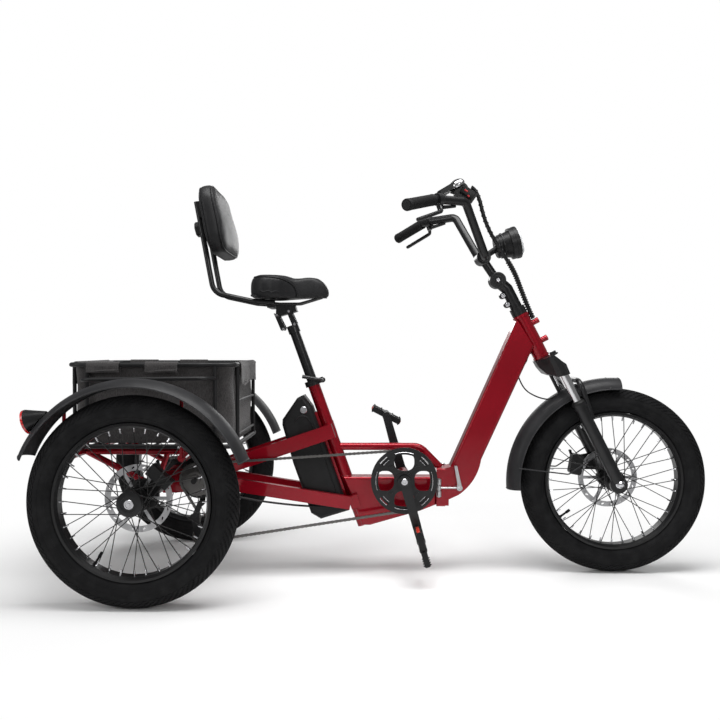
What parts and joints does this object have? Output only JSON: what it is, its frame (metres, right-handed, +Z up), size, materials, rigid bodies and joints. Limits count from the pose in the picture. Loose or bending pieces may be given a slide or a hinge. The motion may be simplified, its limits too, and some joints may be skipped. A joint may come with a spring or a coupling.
{
  "type": "folding electric tricycle",
  "caption": "Step-through folding electric tricycle with a rear cargo basket, padded saddle with backrest, spoked wheels under wide fenders and chain drive to the rear axle.",
  "frame": {"origin": "centre of the bounding box on the ground, under the frame ahead of the saddle", "axes": "+X forward, +Y to the rider's left, +Z up"},
  "size_m": [1.9076, 0.762, 1.1515],
  "materials": {
    "frame_red": "deep metallic gloss paint",
    "black_metal": "satin black powder coat",
    "motor_case": "satin black",
    "brake_black": "satin black",
    "fender": "satin moulded plastic",
    "tail_light": "clear red lens in a black cone",
    "battery_case": "fine grained black plastic",
    "post_black": "satin black",
    "vinyl": "fine grained black vinyl",
    "basket_fabric": "heathered woven fabric",
    "latch_silver": "satin",
    "fork_black": "satin black",
    "stanchion": "polished",
    "grip_rubber": "ribbed",
    "headlight_body": "matt black",
    "display_plastic": "semi gloss",
    "tyre_rubber": "matt rubber with a fine shoulder tread",
    "rim_black": "satin black",
    "hub_black": "satin black",
    "spoke_steel": "black wire with bright nipples",
    "chainring_black": "black with bright edged windows",
    "pedal_plastic": "matt black",
    "chain_steel": "oiled steel",
    "derailleur_black": "satin black",
    "cable_black": "spiral wrapped cable"
  },
  "bodies": {
    "rear_frame": {"seat_tube": "frame_red", "lower_beam": "frame_red", "top_rail": "frame_red", "upper_stays": "frame_red", "lower_stays": "frame_red", "axle_tube": "black_metal", "rear_subframe": "frame_red", "drive_motor": "motor_case", "cassette": "black_metal", "differential": "black_metal", "rear_calipers": "brake_black", "rear_fender_left": "fender", "rear_fender_right": "fender", "tail_lights": "tail_light", "battery": "battery_case", "battery_rail": "frame_red", "seat_clamp": "black_metal", "seat_post": "post_black", "saddle_base": "post_black", "saddle": "vinyl", "backrest_frame": "black_metal", "backrest_pad": "vinyl", "basket_frame": "black_metal", "basket_liner": "basket_fabric", "fold_latch": "latch_silver", "drive_chain": "chain_steel", "axle_chain": "chain_steel", "rear_derailleur": "derailleur_black"},
    "front_frame": {"main_beam": "frame_red"},
    "steering": {"fork_crown": "fork_black", "fork_stanchions": "stanchion", "fork_lowers": "fork_black", "front_axle": "black_metal", "front_caliper": "brake_black", "stem": "black_metal", "handlebar": "black_metal", "grips": "grip_rubber", "brake_levers": "brake_black", "headlight": "headlight_body", "display": "display_plastic", "front_fender": "fender", "cable_loom": "cable_black"},
    "front_wheel": {"front_tyre": "tyre_rubber", "front_rim": "rim_black", "front_hub": "hub_black", "front_spokes": "spoke_steel"},
    "rear_wheel_left": {"rear_left_tyre": "tyre_rubber", "rear_left_rim": "rim_black", "rear_left_hub": "hub_black", "rear_left_spokes": "spoke_steel", "rear_axle_left": "black_metal"},
    "rear_wheel_right": {"rear_right_tyre": "tyre_rubber", "rear_right_rim": "rim_black", "rear_right_hub": "hub_black", "rear_right_spokes": "spoke_steel", "rear_axle_right": "black_metal"},
    "crank": {"crankset": "black_metal", "chainring": "chainring_black"},
    "left_pedal": {"pedal_left": "pedal_plastic"},
    "right_pedal": {"pedal_right": "pedal_plastic"}
  },
  "joints": [
    {"name": "fold", "type": "hinge", "parent": "rear_frame", "child": "front_frame", "pos_m": [0.1705, 0.046, 0.256], "axis": [0, 0, 1], "range_deg": [0, 120]},
    {"name": "steer", "type": "hinge", "parent": "front_frame", "child": "steering", "pos_m": [0.4279, 0, 0.71052], "axis": [-0.454, 0, 0.891], "range_deg": [-45, 45]},
    {"name": "front_wheel_spin", "type": "hinge", "parent": "steering", "child": "front_wheel", "pos_m": [0.6745, 0, 0.275], "axis": [0, 1, 0], "continuous": true},
    {"name": "rear_left_spin", "type": "hinge", "parent": "rear_frame", "child": "rear_wheel_left", "pos_m": [-0.6635, 0.336, 0.275], "axis": [0, 1, 0], "continuous": true},
    {"name": "rear_right_spin", "type": "hinge", "parent": "rear_frame", "child": "rear_wheel_right", "pos_m": [-0.6635, -0.336, 0.275], "axis": [0, 1, 0], "continuous": true},
    {"name": "crank_spin", "type": "hinge", "parent": "rear_frame", "child": "crank", "pos_m": [0.0465, 0, 0.284], "axis": [0, 1, 0], "continuous": true},
    {"name": "left_pedal_spin", "type": "hinge", "parent": "crank", "child": "left_pedal", "pos_m": [-0.0016, 0.149, 0.45745], "axis": [0, 1, 0], "continuous": true},
    {"name": "right_pedal_spin", "type": "hinge", "parent": "crank", "child": "right_pedal", "pos_m": [0.0946, -0.149, 0.11055], "axis": [0, 1, 0], "continuous": true}
  ]
}
